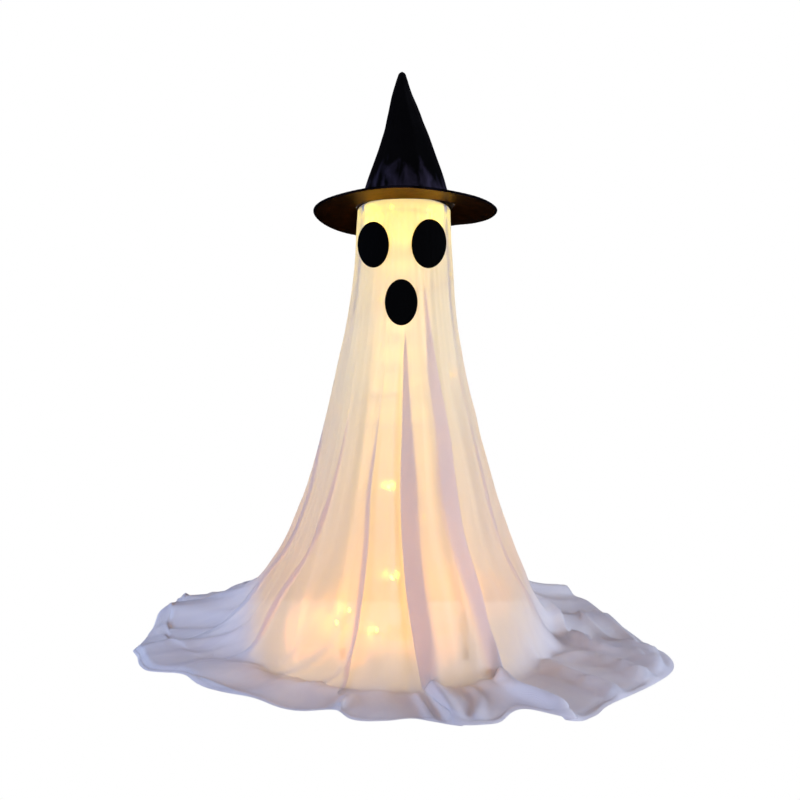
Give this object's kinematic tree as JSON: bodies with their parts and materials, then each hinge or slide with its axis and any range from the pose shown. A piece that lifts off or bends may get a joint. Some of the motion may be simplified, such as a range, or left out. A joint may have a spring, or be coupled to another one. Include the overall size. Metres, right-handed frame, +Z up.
{
  "type": "light-up fabric ghost figure",
  "caption": "Standing fabric ghost with felt eyes and mouth, a long cloth spread over the floor, warm lights inside on a wire stand, and a pointed black hat that lifts off.",
  "frame": {"origin": "centre of the footprint of the cloth, at floor level", "axes": "+Z up, -Y towards the viewer that the face looks at, +X to the viewer's right"},
  "size_m": [1.066, 0.869, 1.1804],
  "materials": {
    "cloth": "thin matte woven polyester",
    "felt": "matte felt",
    "hat_satin": "dull satin",
    "hat_wire": "black coated wire",
    "stand_wire": "white coated steel",
    "clip_plastic": "satin moulded",
    "foot_rubber": "matte",
    "copper_wire": "lacquered copper",
    "bulb_resin": "clear warm resin, lit",
    "box_plastic": "satin moulded",
    "cell_sleeve": "plain printed sleeve",
    "contact_steel": "plated spring steel",
    "knob_plastic": "satin moulded"
  },
  "bodies": {
    "figure": {"base_clip_back": "clip_plastic", "base_clip_left": "clip_plastic", "base_clip_right": "clip_plastic", "base_ring": "stand_wire", "battery_box": "box_plastic", "battery_cell_1": "cell_sleeve", "battery_cell_2": "cell_sleeve", "battery_cell_3": "cell_sleeve", "contact_spring_1": "contact_steel", "contact_spring_2": "contact_steel", "contact_spring_3": "contact_steel", "contact_strip_flat": "contact_steel", "contact_strip_sprung": "contact_steel", "foot_cap_back": "foot_rubber", "foot_cap_left": "foot_rubber", "foot_cap_right": "foot_rubber", "ghost_cloth": "cloth", "head_clip_back": "clip_plastic", "head_clip_left": "clip_plastic", "head_clip_right": "clip_plastic", "head_ring": "stand_wire", "left_eye_patch": "felt", "leg_coupling_back": "clip_plastic", "leg_coupling_left": "clip_plastic", "leg_coupling_right": "clip_plastic", "light_bulb_01": "bulb_resin", "light_bulb_02": "bulb_resin", "light_bulb_03": "bulb_resin", "light_bulb_04": "bulb_resin", "light_bulb_05": "bulb_resin", "light_bulb_06": "bulb_resin", "light_bulb_07": "bulb_resin", "light_bulb_08": "bulb_resin", "light_bulb_09": "bulb_resin", "light_bulb_10": "bulb_resin", "light_bulb_11": "bulb_resin", "light_bulb_12": "bulb_resin", "light_bulb_13": "bulb_resin", "light_bulb_14": "bulb_resin", "light_bulb_15": "bulb_resin", "light_string": "copper_wire", "lower_leg_back": "stand_wire", "lower_leg_left": "stand_wire", "lower_leg_right": "stand_wire", "middle_clip_back": "clip_plastic", "middle_clip_left": "clip_plastic", "middle_clip_right": "clip_plastic", "middle_ring": "stand_wire", "mouth_patch": "felt", "right_eye_patch": "felt", "upper_leg_back": "stand_wire", "upper_leg_left": "stand_wire", "upper_leg_right": "stand_wire"},
    "hat": {"hat_cone": "hat_satin", "hat_brim": "hat_satin", "brim_wire": "hat_wire"},
    "battery_cover": {"battery_cover": "box_plastic"},
    "switch_knob": {"switch_knob": "knob_plastic"}
  },
  "joints": [
    {"name": "hat_lift", "type": "slide", "parent": "figure", "child": "hat", "axis": [0, 0, 1], "range_m": [0, 0.2]},
    {"name": "battery_cover_slide", "type": "slide", "parent": "figure", "child": "battery_cover", "axis": [1, 0, 0], "range_m": [0, 0.055]},
    {"name": "switch_slide", "type": "slide", "parent": "figure", "child": "switch_knob", "axis": [0, 1, 0], "range_m": [0, 0.003]}
  ]
}
